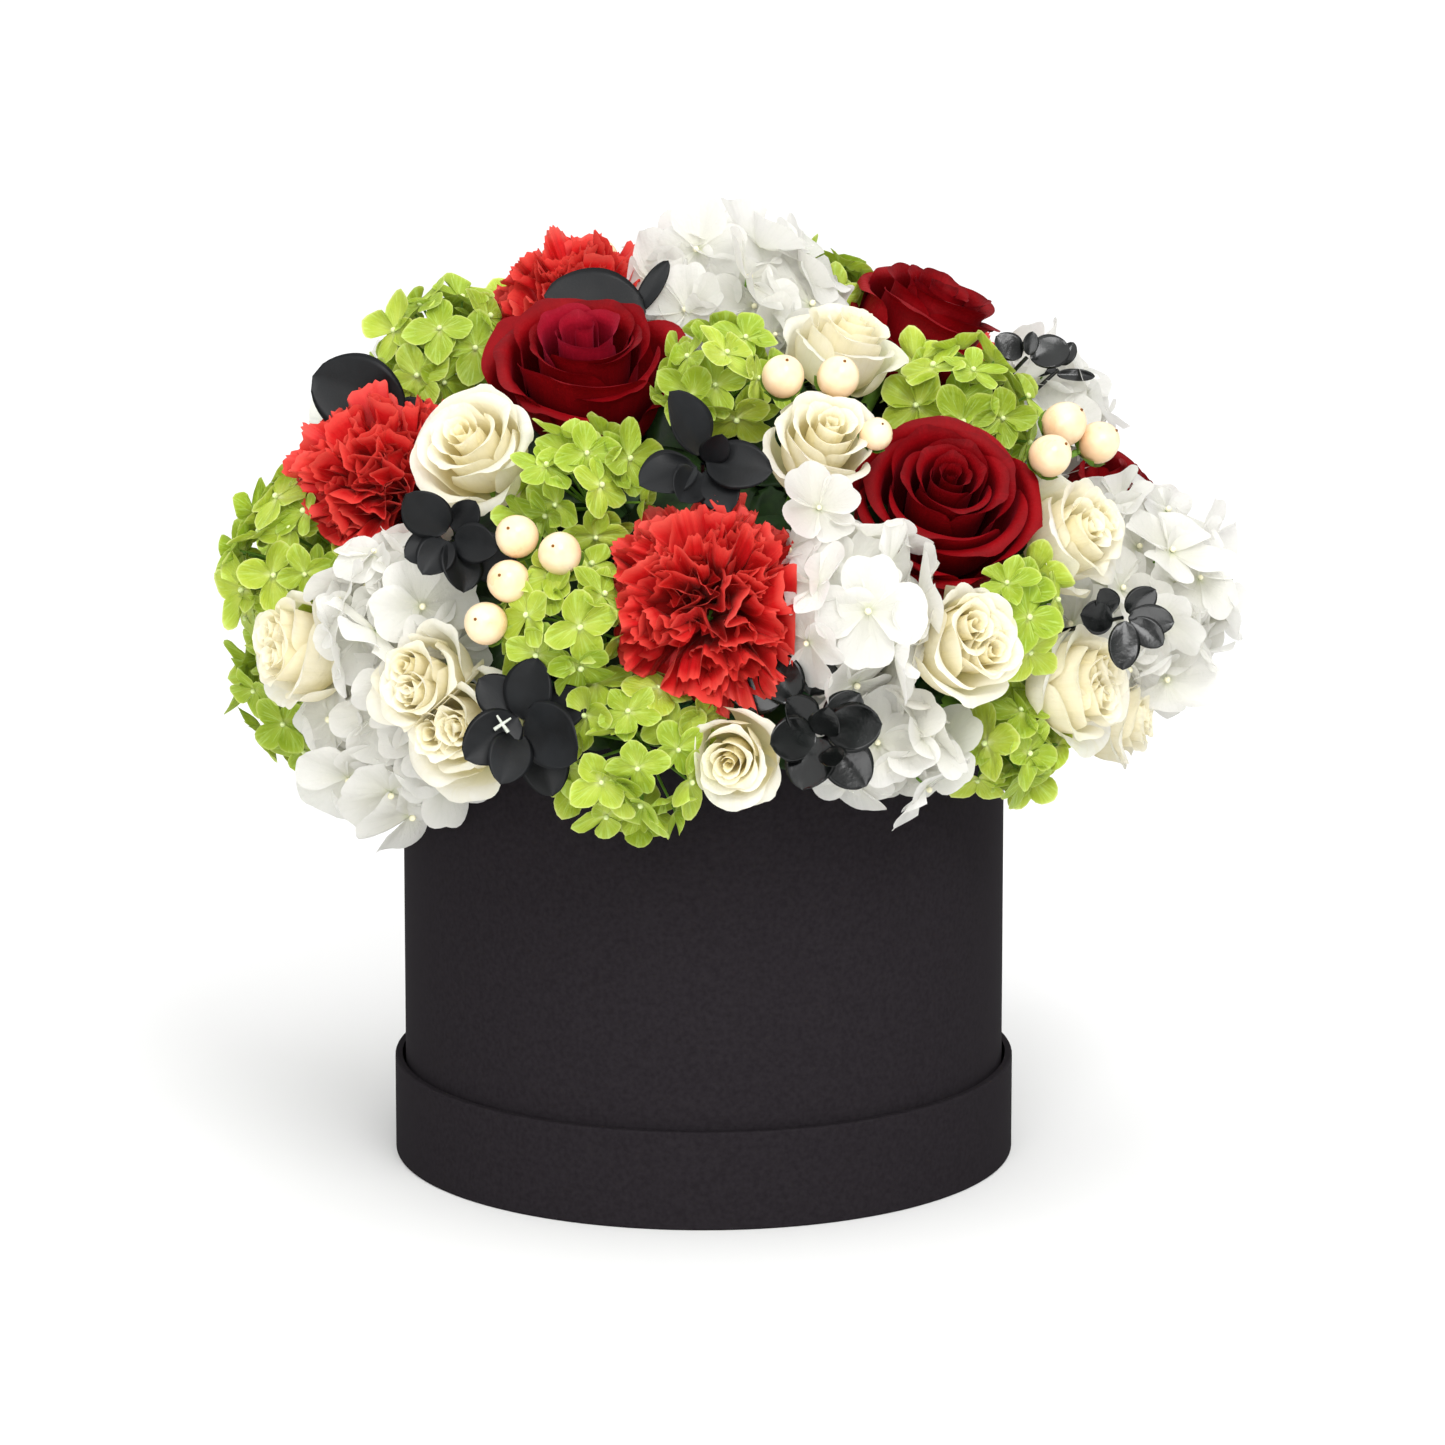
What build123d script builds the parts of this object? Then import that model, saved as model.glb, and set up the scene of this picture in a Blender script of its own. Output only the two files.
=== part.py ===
from build123d import *
import math
import os

# A round hat box of flowers: a covered board box standing in its own upturned lid,
# a plastic liner with a block of wet foam inside it, and cut flowers pushed into the foam.
# Millimetres, +Z up. The origin is on the table, on the axis of the box. The front is -Y.

# Board and paper
BOARD = 1.8  # grey board of every wall and panel
PAPER = 0.3  # black cover paper with its glue
EDGE_RADIUS = 0.8  # softness of the folded paper edges

# The box and its lid, over the paper
BOX_DIAMETER = 200.0
BOX_HEIGHT = 160.0
BOX_TURN_IN = 25.0  # how far the cover paper folds down inside the rim
LID_HEIGHT = 33.0
LID_CLEARANCE = 1.1  # radial play between the box and the lined lid

# Liner and foam
LINER_WALL = 0.7
LINER_BELOW_RIM = 18.2  # how far its edge stays under the box's rim
LINER_CLEARANCE = 0.8  # radial play in the box
LINER_CORNER = 5.0
FOAM_CLEARANCE = 0.6  # radial play in the liner
FOAM_ABOVE_RIM = 40.0
FOAM_CHAMFER = 24.0

# The dome that the flower heads follow, outside the box rim
DOME_OVERHANG = 63.0  # how far its widest level stands out from the box wall
DOME_WAIST = 27.0  # height of its widest level above the rim
DOME_RISE = 116.0  # height of its top above the widest level
FOCUS_BELOW_RIM = 12.0  # where on the axis most stems point
HEAD_GAP = 0.4  # between pressed heads
RIM_GAP = 2.0  # between any head and the box or foam

# Each kind's underside, as a share of the head's radius under its centre, then the radius of
# its stem and how deep that is pushed into the foam
KINDS = {
    "red_rose": (0.7, 2.4, 34.0),
    "red_carnation": (0.6, 2.0, 32.0),
    "spray_rose": (0.6, 1.5, 26.0),
    "white_hydrangea": (0.35, 2.6, 38.0),
    "green_hydrangea": (0.35, 2.6, 38.0),
    "hypericum": (1.0, 1.1, 22.0),
    "eucalyptus": (0.4, 1.1, 22.0),
}
STEM_NODES = {
    "red_rose": "rose_stems",
    "red_carnation": "carnation_stems",
    "spray_rose": "spray_rose_stems",
    "white_hydrangea": "hydrangea_stems",
    "green_hydrangea": "hydrangea_stems",
    "hypericum": "hypericum_stems",
}
STEM_CLEARANCE = 0.1  # between a stem and the foam round it
PASSING_CLEARANCE = 0.4  # between a stem and a head that it passes through
PEDICEL_REACH = 22.0  # from a sprig's fork out to the middle of its berries

# Where each head goes: (turn, rise, lift, radius). Turn is degrees round the box from the
# front towards +X, rise is degrees up the dome, lift is how far it stands proud of the dome.
FLOWERS = {}
FLOWERS["red_rose"] = [
    [(-48, 68, 0, 29)],
    [(44, 33, 0, 31)],
    [(110, 60, 14, 29)],
    [(94, 22, 8, 26)],
    [(-171, 46, 0, 31)],
    [(143, 16, 0, 30)],
]
FLOWERS["red_carnation"] = [
    [(1, 19, 2, 34)],
    [(-67, 33, 1, 32)],
    [(-122, 69, 12, 31)],
    [(128, 42, 2, 32)],
    [(-152, 12, 2, 33)],
]
FLOWERS["spray_rose"] = [
    [(-41, 41, 0, 20)],
    [(21, 44, 0, 17.5), (50, 66, 0, 18)],
    [(4, -10, 0, 15)],
    [(34, 7, 1, 19), (59, 21, 0, 18)],
    [(56, -3, 1, 18), (77, -19, 4, 16)],
    [(-61, 0, 6, 18), (-36, 4, 2, 18), (-33, -11, 2, 19)],
    [(160, 66, 2, 20), (-177, 12, 1, 20), (114, 4, 1, 19), (-150, 33, 0, 19)],
]
FLOWERS["white_hydrangea"] = [
    [(150, 85, 14, 36)],
    [(-46, 14, 0, 30), (-57, -22, 2, 32)],
    [(20, 17, 0, 28), (16, 31, -1, 13)],
    [(29, -16, 0, 25)],
    [(87, 4, 10, 38)],
    [(100, 40, 9, 24)],
    [(-113, 38, 2, 32), (167, -14, 2, 32), (-158, -16, 1, 30), (-162, 66, 0, 26)],
]
FLOWERS["green_hydrangea"] = [
    [(-76, 14, 3, 37), (-84, -15, 3, 28)],
    [(-100, 53, 4, 25)],
    [(-20, 40, 0, 28), (-18, 14, -1, 21)],
    [(-9, -10, 0, 28)],
    [(6, 65, 0, 24)],
    [(76, 50, 1, 30)],
    [(46, 11, 0, 21), (51, -21, 0, 25)],
    [(-121, 8, 4, 34), (-126, -19, 1, 30), (-142, 48, 1, 24)],
    [(157, 38, 4, 32), (122, -20, 2, 29), (157, 12, 1, 24), (136, 67, 0, 20)],
]
FLOWERS["hypericum"] = [
    [(-24, 25, 2, 6.8), (-18, 23, 1, 6.8), (-24, 18, 1, 6.8), (-26, 11, 2, 6.8)],
    [(16, 54, 2, 6.8), (27, 53, 2, 6.8), (28, 42, 0, 5.2)],
    [(68, 37, 2, 7.2), (72, 32, 3, 6.8), (56, 33, 4, 6.8)],
    [(-151, 63, 5, 6.8), (-142, 61, 6, 6.8), (-152, 55, 6, 6.8)],
]
FLOWERS["eucalyptus"] = [
    [(-78, 44, 12, 15), (-100, 78, 17, 13)],
    [(0, 46, 5, 19)],
    [(-36, 26, 3, 16)],
    [(-23, -6, 4, 20)],
    [(15, -6, 3, 18)],
    [(61, 5, 4, 14), (87, 51, 11, 9), (96, 46, 15, 8)],
    [(-174, 29, 4, 16), (110, 24, 4, 14), (142, 55, 4, 14)],
]

# Worked out from the values above
box_radius = BOX_DIAMETER / 2
box_base = PAPER + BOARD
box_rim = box_base + BOX_HEIGHT
box_bore = box_radius - PAPER - BOARD - PAPER  # clear of the turned-in paper
lid_bore = box_radius + LID_CLEARANCE
lid_radius = lid_bore + PAPER + BOARD + PAPER
liner_radius = box_bore - LINER_CLEARANCE
liner_base = box_base + BOARD
liner_rim = box_rim - LINER_BELOW_RIM
foam_radius = liner_radius - LINER_WALL - FOAM_CLEARANCE
foam_base = liner_base + LINER_WALL
foam_top = box_rim + FOAM_ABOVE_RIM
dome_radius = box_radius + DOME_OVERHANG
dome_level = box_rim + DOME_WAIST
dome_focus = box_rim - FOCUS_BELOW_RIM


def cylinder(radius, bottom, top):
    """A plain round block between two heights."""
    return Pos(0, 0, bottom) * Cylinder(
        radius, top - bottom, align=(Align.CENTER, Align.CENTER, Align.MIN)
    )


def rounded(solid, radius):
    """The solid with its circular edges rounded."""
    return fillet(solid.edges().filter_by(GeomType.CIRCLE), radius)


def lid_parts():
    """The lid, upturned on the table: rim ring, panel disc and their cover papers."""
    shell = rounded(cylinder(lid_radius, 0, LID_HEIGHT), EDGE_RADIUS)
    shell -= cylinder(lid_bore, box_base, LID_HEIGHT)
    rim = cylinder(lid_radius - PAPER, PAPER, LID_HEIGHT - PAPER)
    rim = rounded(rim, EDGE_RADIUS - PAPER) - cylinder(lid_bore + PAPER, 0, LID_HEIGHT)
    panel = cylinder(lid_bore + PAPER, PAPER, box_base)
    panel_paper = cylinder(lid_bore, 0, PAPER)
    return {
        "lid_rim": rim,
        "lid_panel": panel,
        "lid_panel_paper": panel_paper,
        "lid_rim_paper": shell - rim - panel - panel_paper,
    }


def box_parts():
    """The box: wall tube, base disc inside it, and the paper that covers the wall."""
    wall_bore = box_bore + PAPER
    shell = rounded(cylinder(box_radius, box_base, box_rim), EDGE_RADIUS)
    wall = cylinder(box_radius - PAPER, box_base, box_rim - PAPER) - cylinder(
        wall_bore, box_base, box_rim
    )
    base = cylinder(wall_bore, box_base, box_base + BOARD)
    paper = shell - wall - cylinder(wall_bore, box_base, box_rim - BOX_TURN_IN)
    paper -= cylinder(box_bore, box_base, box_rim)
    return {"box_wall": wall & shell, "box_base": base, "box_wall_paper": paper}


def liner_part():
    """A thin pot that keeps the water off the board."""
    outside = cylinder(liner_radius, liner_base, liner_rim)
    outside = fillet(outside.edges().sort_by(Axis.Z)[0], LINER_CORNER)
    inside = cylinder(liner_radius - LINER_WALL, foam_base, liner_rim)
    return outside - fillet(inside.edges().sort_by(Axis.Z)[0], LINER_CORNER - LINER_WALL)


def foam_block(grown):
    """The foam's shape, or a larger copy of it that keeps the heads clear."""
    bottom = foam_base if grown == 0 else 0
    block = cylinder(foam_radius + grown, bottom, foam_top + grown)
    block = chamfer(block.edges().sort_by(Axis.Z)[-1], FOAM_CHAMFER)
    if grown == 0:
        block = fillet(block.edges().sort_by(Axis.Z)[0], LINER_CORNER)
    return block


def in_foam(point):
    """Whether a point lies inside the chamfered foam."""
    out = math.hypot(point.X, point.Y)
    slope = foam_radius + foam_top - FOAM_CHAMFER
    return out < foam_radius and point.Z < foam_top and out + point.Z < slope


class Stem:
    """A straight round bar from one point to another."""

    def __init__(self, start, end, radius):
        self.start, self.end, self.radius = start, end, radius

    def solid(self, grown=0.0):
        along = self.end - self.start
        bar = Cylinder(
            self.radius + grown, along.length, align=(Align.CENTER, Align.CENTER, Align.MIN)
        )
        return Plane(origin=self.start, z_dir=along) * bar

    def meets(self, head):
        """Whether the stem passes through a head's ball."""
        along = self.end - self.start
        share = (head.centre - self.start).dot(along) / along.dot(along)
        nearest = self.start + along * min(max(share, 0.0), 1.0)
        return (head.centre - nearest).length < head.radius + self.radius + PASSING_CLEARANCE


def stem_from(point, axis, depth, radius):
    """The stem that runs back from a point along an axis, until it is its depth in foam."""
    start = point
    while not in_foam(start):
        start -= axis
    return Stem(start - axis * depth, point, radius)


class Head:
    """A flower head: a ball on the dome with a flat underside, facing out from the foam."""

    def __init__(self, spot, under, stem):
        turn, rise, lift, self.radius = spot
        self.under = under
        around, up = math.radians(turn), math.radians(rise)
        out = dome_radius * math.cos(up)
        high = dome_level + DOME_RISE * math.sin(up)
        skin = Vector(out * math.sin(around), -out * math.cos(around), high)
        # A low head's stem points higher, so that it passes over the rim
        edge = (box_radius + RIM_GAP) / out
        over_rim = box_rim + RIM_GAP + stem
        aim = dome_focus
        if edge < 1:
            aim = max(aim, (over_rim - high * edge) / (1 - edge))
        self.axis = (skin - Vector(0, 0, aim)).normalized()
        self.centre = skin + self.axis * (lift - self.radius)
        self.foot = self.centre - self.axis * (self.radius * under)

    def ball(self):
        lowest = -math.degrees(math.asin(self.under))
        plane = Plane(origin=self.centre, z_dir=self.axis)
        return plane * Sphere(self.radius, arc_size1=lowest, align=None)

    def pressed(self, heads, passing_stems, keep_out):
        """The ball, flattened wherever it presses on another head."""
        shape = self.ball()
        for other in heads:
            towards = other.centre - self.centre
            apart = towards.length
            if other is self or apart >= self.radius + other.radius + HEAD_GAP:
                continue
            share = (apart**2 + self.radius**2 - other.radius**2) / (2 * apart)
            spot = self.centre + towards.normalized() * (share - HEAD_GAP / 2)
            shape = split(shape, bisect_by=Plane(origin=spot, z_dir=-towards))
        if math.hypot(self.centre.X, self.centre.Y) - self.radius < box_radius + RIM_GAP:
            shape -= keep_out
        for stem in passing_stems:
            if stem.meets(self):
                shape -= stem.solid(PASSING_CLEARANCE)
        return max(shape.solids(), key=lambda piece: piece.volume)


class Node:
    """One node of cut flowers: its heads and the stems that hold them."""

    def __init__(self, kind, spots):
        under, radius, depth = KINDS[kind]
        self.kind = kind
        self.heads = [Head(spot, under, radius) for spot in spots]
        if kind == "hypericum":
            middle = sum((berry.centre for berry in self.heads), Vector()) / len(spots)
            axis = sum((berry.axis for berry in self.heads), Vector()).normalized()
            fork = middle - axis * PEDICEL_REACH
            self.pushed_in = [stem_from(fork, axis, depth, radius)]
            self.forked = [Stem(fork - axis, berry.centre, radius) for berry in self.heads]
        else:
            self.pushed_in = [stem_from(head.foot, head.axis, depth, radius) for head in self.heads]
            self.forked = []
        self.stems = self.pushed_in + self.forked

    def holds(self, head, stem):
        """Whether a stem is the one under a head, or is in the same forked sprig."""
        if self.forked:
            return stem in self.stems
        return stem is self.pushed_in[self.heads.index(head)]

    def stem_solids(self):
        """The node's stems, where a forked one is a single piece that ends at its berries."""
        if not self.forked:
            return [stem.solid() for stem in self.pushed_in]
        sprig = self.pushed_in[0].solid()
        for stem in self.forked:
            sprig += stem.solid()
        for berry in self.heads:
            sprig -= berry.ball()
        return [max(sprig.solids(), key=lambda piece: piece.volume)]


def flower_parts():
    """Every head and stem, and the foam with a hole for each stem."""
    nodes = {}
    for kind, plan in FLOWERS.items():
        for number, spots in enumerate(plan, 1):
            nodes[f"{kind}_{number}"] = Node(kind, spots)
    heads = [head for node in nodes.values() for head in node.heads]
    keep_out = cylinder(box_radius + RIM_GAP, 0, box_rim + RIM_GAP) + foam_block(RIM_GAP)
    stems = [stem for node in nodes.values() for stem in node.stems]
    foam = foam_block(0)
    parts = {}
    groups = {name: [] for name in STEM_NODES.values()}
    for name, node in nodes.items():
        own = node.stem_solids()
        solids = []
        for head in node.heads:
            passing = [stem for stem in stems if not node.holds(head, stem)]
            solids.append(head.pressed(heads, passing, keep_out))
        if node.kind == "eucalyptus":
            solids += own
        else:
            groups[STEM_NODES[node.kind]] += own
        for stem in node.pushed_in:
            foam -= stem.solid(STEM_CLEARANCE)
        parts[name] = Compound(children=solids)
    parts |= {name: Compound(children=solids) for name, solids in groups.items()}
    parts["foam"] = foam
    return parts


def main():
    parts = {**lid_parts(), **box_parts(), "liner": liner_part(), **flower_parts()}
    os.makedirs("parts", exist_ok=True)
    for name, shape in parts.items():
        export_step(shape, f"parts/{name}.step")


main()
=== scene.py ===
import math

import bmesh
import bpy
import numpy as np
from mathutils import Matrix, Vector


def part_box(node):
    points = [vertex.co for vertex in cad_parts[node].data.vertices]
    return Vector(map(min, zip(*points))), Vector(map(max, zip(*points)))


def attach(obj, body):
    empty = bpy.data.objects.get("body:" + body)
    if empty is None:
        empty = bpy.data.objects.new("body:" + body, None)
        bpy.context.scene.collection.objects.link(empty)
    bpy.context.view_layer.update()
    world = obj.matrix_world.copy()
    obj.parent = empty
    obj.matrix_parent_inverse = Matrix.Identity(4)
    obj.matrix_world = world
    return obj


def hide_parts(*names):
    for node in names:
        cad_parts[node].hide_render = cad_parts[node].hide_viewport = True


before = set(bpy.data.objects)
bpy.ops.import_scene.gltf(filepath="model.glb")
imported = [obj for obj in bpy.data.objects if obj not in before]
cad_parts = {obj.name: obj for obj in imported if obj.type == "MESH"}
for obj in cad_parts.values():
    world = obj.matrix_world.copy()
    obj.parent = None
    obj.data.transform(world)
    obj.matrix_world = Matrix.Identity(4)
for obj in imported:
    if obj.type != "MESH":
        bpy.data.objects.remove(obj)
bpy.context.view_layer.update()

mm = 0.001
goldenAngle = math.radians(137.508)
fullTurn = 6.28  # near enough for a random phase
rng = np.random.default_rng(41)


def linear(hexColour):
    values = [int(hexColour[i:i + 2], 16) / 255 for i in (1, 3, 5)]
    return [v / 12.92 if v <= 0.04045 else ((v + 0.055) / 1.055) ** 2.4 for v in values] + [1.0]


def unit(vector):
    return np.asarray(vector, float) / np.linalg.norm(vector)


def smooth(low, high, value):
    s = np.clip((value - low) / (high - low), 0, 1)
    return s * s * (3 - 2 * s)


def facing(axis, spin=0.0):  # columns: to the right, up and out, seen from outside the dome
    axis = unit(axis)
    side = np.cross((0, 0, 1), axis)
    side = unit(side) if np.linalg.norm(side) > 0.05 else np.array((1.0, 0, 0))
    up = np.cross(axis, side)
    c, s = math.cos(spin), math.sin(spin)
    return np.column_stack((c * side + s * up, c * up - s * side, axis))


# mm to join corners over, rounds of fitting, per cent of the points kept in each, the miss in mm that
# always passes, and how slim a stem is against a ball
ballFit = {"join": 0.002, "rounds": 6, "keepShare": 60, "nearMiss": 0.05, "slim": 0.2}


def ballsOf(name):  # where the heads of a node are: the ball nearest to each of its solids
    bm = bmesh.new()
    bm.from_mesh(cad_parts[name].data)
    bmesh.ops.remove_doubles(bm, verts=bm.verts, dist=ballFit["join"] * mm)
    bm.verts.ensure_lookup_table()
    seen = np.zeros(len(bm.verts), bool)
    balls = []
    for start in bm.verts:
        if seen[start.index]:
            continue
        island, queue = [], [start]
        seen[start.index] = True
        while queue:
            vert = queue.pop()
            island.append(vert.co[:])
            for edge in vert.link_edges:
                other = edge.other_vert(vert)
                if not seen[other.index]:
                    seen[other.index] = True
                    queue.append(other)
        points = np.array(island) / mm
        keep = np.ones(len(points), bool)
        for again in range(ballFit["rounds"]):
            inside = points[keep]
            table = np.column_stack((2 * inside, np.ones(len(inside))))
            answer = np.linalg.lstsq(table, (inside ** 2).sum(1), rcond=None)[0]
            centre = answer[:3]
            radius = math.sqrt(max(answer[3] + centre @ centre, 1e-6))
            miss = np.abs(np.linalg.norm(points - centre, axis=1) - radius)
            keep = miss <= max(ballFit["nearMiss"], np.percentile(miss, ballFit["keepShare"]))
        slim = np.linalg.svd(points - points.mean(0), compute_uv=False)[-1] / math.sqrt(len(points))
        if slim > ballFit["slim"] * radius:  # a stem is too slim to be a ball
            balls.append((centre, radius))
    bm.free()
    balls.sort(key=lambda ball: (round(ball[1]), ball[0][0]), reverse=True)
    return balls


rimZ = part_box("box_wall")[1][2] / mm
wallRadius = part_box("box_wall_paper")[1][0] / mm
focus = np.array((0, 0, rimZ - 12.0))  # where the stems point
kinds = ("red_rose", "red_carnation", "spray_rose", "white_hydrangea", "green_hydrangea",
         "hypericum", "eucalyptus")
heads = {}
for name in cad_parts:
    kind = name.rsplit("_", 1)[0]
    if kind in kinds and name[-1].isdigit():
        heads[name] = [{"node": name, "kind": kind, "centre": c, "radius": r, "axis": unit(c - focus)}
                       for c, r in ballsOf(name)]
# a bloom settles a few millimetres off its ball, right, back and up, and opens to a share of it
settled = {"red_rose_1.0": (-1, -7, -2, 1.06), "red_rose_2.0": (-2, 0, -2, 1),
           "red_rose_3.0": (2, 0, -7, 0.95), "red_rose_4.0": (-2, 3, -9, 0.8),
           "red_carnation_2.0": (2, 0, -1, 1), "red_carnation_3.0": (4, -4, -6, 1),
           "red_carnation_4.0": (-2, 4, -8, 1), "white_hydrangea_1.0": (4, 0, -5, 0.96),
           "white_hydrangea_2.0": (8, 0, 0, 0.94), "white_hydrangea_2.1": (-2, 0, -5, 0.9),
           "white_hydrangea_4.0": (-5, 0, 3, 0.86), "white_hydrangea_6.0": (-3, 0, -11, 1),
           "white_hydrangea_7.0": (4, 4, -5, 1), "white_hydrangea_7.1": (6, 8, -12, 1),
           "white_hydrangea_7.2": (4, 4, -5, 1), "white_hydrangea_7.3": (4, 4, -5, 1),
           "green_hydrangea_1.0": (4, 0, 0, 1), "green_hydrangea_1.1": (5, 0, 0, 1),
           "green_hydrangea_3.0": (-2, 0, -2, 0.82), "green_hydrangea_5.0": (0, 0, -3, 0.88),
           "green_hydrangea_6.0": (0, 0, -4, 0.88), "green_hydrangea_7.0": (-3, 0, 3, 0.8),
           "green_hydrangea_7.1": (-2, 0, 0, 0.84), "spray_rose_2.0": (0, 0, -3, 1),
           "spray_rose_4.0": (0, 0, 1, 1), "spray_rose_5.0": (-3, 0, -3, 1),
           "spray_rose_5.1": (-5, 0, 0, 1), "spray_rose_6.0": (3, 0, 5, 1),
           "spray_rose_6.1": (0, 3, -8, 0.95), "spray_rose_6.2": (5, 0, 0, 1),
           "eucalyptus_7.1": (-8, 8, -12, 1), "eucalyptus_7.2": (0, 8, -9, 1)}
for place, (right, back, up, share) in settled.items():
    name, count = place.split(".")
    head = heads[name][int(count)]
    head["centre"] = head["centre"] + (right, back, up)
    head["radius"] *= share
everyHead = [head for group in heads.values() for head in group]
print("heads found:", len(everyHead))
for head in everyHead:
    head["presses"] = []
    for other in everyHead:
        towards = other["centre"] - head["centre"]
        apart = np.linalg.norm(towards)
        if other is head or other["kind"] == "eucalyptus" or apart > head["radius"] + other["radius"]:
            continue
        share = (apart ** 2 + head["radius"] ** 2 - other["radius"] ** 2) / (2 * apart)
        head["presses"].append((towards / apart, share))


cellMargin = 0.04  # each grid of a sheaf has a cell of the bake map to itself, with a margin


class Sheaf:  # gathers petals, leaves and stems as grids of points, then makes one mesh of them
    def __init__(self, name):
        self.name = name
        self.grids = []

    def add(self, points, material=0, tone=0.5, along=None, closed=False):
        rows, columns = points.shape[:2]
        if along is None:
            along = np.repeat(np.linspace(0, 1, rows)[:, None], columns, 1)
        across = np.repeat(np.linspace(-1, 1, columns)[None, :], rows, 0)
        self.grids.append((points, material, np.full((rows, columns), tone), along, across, closed))

    def finish(self, materials, node, slot):
        points, faces, uvs, slots = [], [], [], []
        tones, alongs, acrosses = [], [], []
        perSide = math.ceil(math.sqrt(len(self.grids)))
        first = 0
        for count, (grid, material, tone, along, across, closed) in enumerate(self.grids):
            rows, columns = grid.shape[:2]
            index = first + np.arange(rows * columns).reshape(rows, columns)
            if closed:  # a tube's last column meets its first
                index = np.column_stack((index, index[:, :1]))
            quads = np.stack((index[:-1, :-1], index[:-1, 1:], index[1:, 1:], index[1:, :-1]), -1)
            faces.append(quads.reshape(-1, 4))
            slots.append(np.full(quads.shape[0] * quads.shape[1], material))
            s, t = (np.linspace(cellMargin, 1 - cellMargin, n) for n in index.shape[::-1])
            s, t = np.meshgrid(s, t)
            cell = np.stack((s + count % perSide, t + count // perSide), -1) / perSide
            corner = np.stack((cell[:-1, :-1], cell[:-1, 1:], cell[1:, 1:], cell[1:, :-1]), 2)
            uvs.append(corner.reshape(-1, 2))
            points.append(grid.reshape(-1, 3))
            for values, store in ((tone, tones), (along, alongs), (across, acrosses)):
                store.append(np.asarray(values).reshape(-1))
            first += rows * columns
        points = np.concatenate(points) * mm
        faces = np.concatenate(faces)
        mesh = bpy.data.meshes.new(self.name)
        mesh.vertices.add(len(points))
        mesh.vertices.foreach_set("co", points.astype(np.float32).ravel())
        mesh.loops.add(len(faces) * 4)
        mesh.loops.foreach_set("vertex_index", faces.astype(np.int32).ravel())
        mesh.polygons.add(len(faces))
        mesh.polygons.foreach_set("loop_start", np.arange(len(faces), dtype=np.int32) * 4)
        mesh.polygons.foreach_set("material_index", np.concatenate(slots).astype(np.int32))
        for name, values in (("tone", tones), ("along", alongs), ("across", acrosses)):
            layer = mesh.attributes.new(name, "FLOAT", "POINT")
            layer.data.foreach_set("value", np.concatenate(values).astype(np.float32))
        layer = mesh.uv_layers.new(name="OFBake")
        mesh.update()
        layer.data.foreach_set("uv", np.concatenate(uvs).astype(np.float32).ravel())
        mesh.polygons.foreach_set("use_smooth", np.ones(len(faces), bool))
        for material in materials:
            mesh.materials.append(material)
        mesh.validate()
        piece = bpy.data.objects.new(self.name, mesh)
        bpy.context.scene.collection.objects.link(piece)
        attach(piece, "arrangement")
        if node:
            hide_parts(node)


def placed(head, local, spin=0.0, press=True, axis=None):
    # local points are in head radii, with +Z out of the dome
    turnTo = facing(head["axis"] if axis is None else axis, spin)
    points = local @ turnTo.T * head["radius"] + head["centre"]
    return pressed(head, points) if press else points


# how much of a petal's overlap with a neighbour is pushed back
giving = {"red_rose": 0.95, "red_carnation": 0.95, "spray_rose": 0.85, "white_hydrangea": 0.6,
          "green_hydrangea": 0.6}


def pressed(head, points):  # a bloom gives way where it meets its neighbours and the rim
    for normal, share in head["presses"]:
        past = (points - head["centre"]) @ normal - share
        past = np.where(past > 0, past * giving[head["kind"]], 0)
        points = points - past[..., None] * normal
    return clearOfRim(points)


# mm kept off the wall and the rim, and how far from the axis a point must be to count as near them
rimRoom = {"beside": 1.2, "above": 1.5, "farOut": 40}


def clearOfRim(points):  # what would hang into the wall hangs down outside it
    out = np.linalg.norm(points[..., :2], axis=-1)
    short = wallRadius + rimRoom["beside"] - out
    low = (points[..., 2] < rimZ + rimRoom["above"]) & (short > 0) & (out > rimRoom["farOut"])
    push = np.where(low, short, 0)
    points = points.copy()
    points[..., :2] += points[..., :2] / np.maximum(out, 1)[..., None] * push[..., None]
    return points


def tube(start, end, radius, sides=6, taper=1.0, bow=None, steps=2):
    start, end = np.asarray(start, float), np.asarray(end, float)
    along = np.linspace(0, 1, steps)[:, None]
    line = start + (end - start) * along
    if bow is not None:
        line = line + np.asarray(bow) * np.sin(np.pi * along)
    turnTo = facing(end - start)
    angle = np.linspace(0, 2 * np.pi, sides, endpoint=False)
    ring = np.stack((np.cos(angle), np.sin(angle), 0 * angle), -1) @ turnTo.T
    width = radius * (1 + (taper - 1) * along)
    return line[:, None, :] + ring[None] * width[..., None]


def bead(centre, radius, sides=8, rows=6, squash=1.0, axis=(0, 0, 1), low=-90):
    rise = np.radians(np.linspace(low, 90, rows))[:, None]
    angle = np.linspace(0, 2 * np.pi, sides, endpoint=False)[None, :]
    ball = np.stack((np.cos(rise) * np.cos(angle), np.cos(rise) * np.sin(angle),
                     squash * np.sin(rise) + 0 * angle), -1)
    return ball * radius @ facing(axis).T + np.asarray(centre)


def addNode(tree, kind, inputs=None, **settings):
    node = tree.nodes.new("ShaderNode" + kind)
    for key, value in settings.items():
        setattr(node, key, value)
    for key, value in (inputs or {}).items():
        if isinstance(value, bpy.types.NodeSocket):
            tree.links.new(value, node.inputs[key])
        else:
            node.inputs[key].default_value = value
    return node


def newMaterial(name):
    material = bpy.data.materials.new(name)
    material.use_nodes = True
    tree = material.node_tree
    tree.nodes.clear()
    return material, tree


def ramp(tree, factor, stops):
    node = addNode(tree, "ValToRGB", {"Fac": factor})
    elements = node.color_ramp.elements
    while len(elements) < len(stops):
        elements.new(0.5)
    for element, (position, colour) in zip(elements, stops):
        element.position = position
        element.color = linear(colour)
    return node.outputs["Color"]


def attribute(tree, name):
    return addNode(tree, "Attribute", attribute_name=name).outputs["Fac"]


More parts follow.
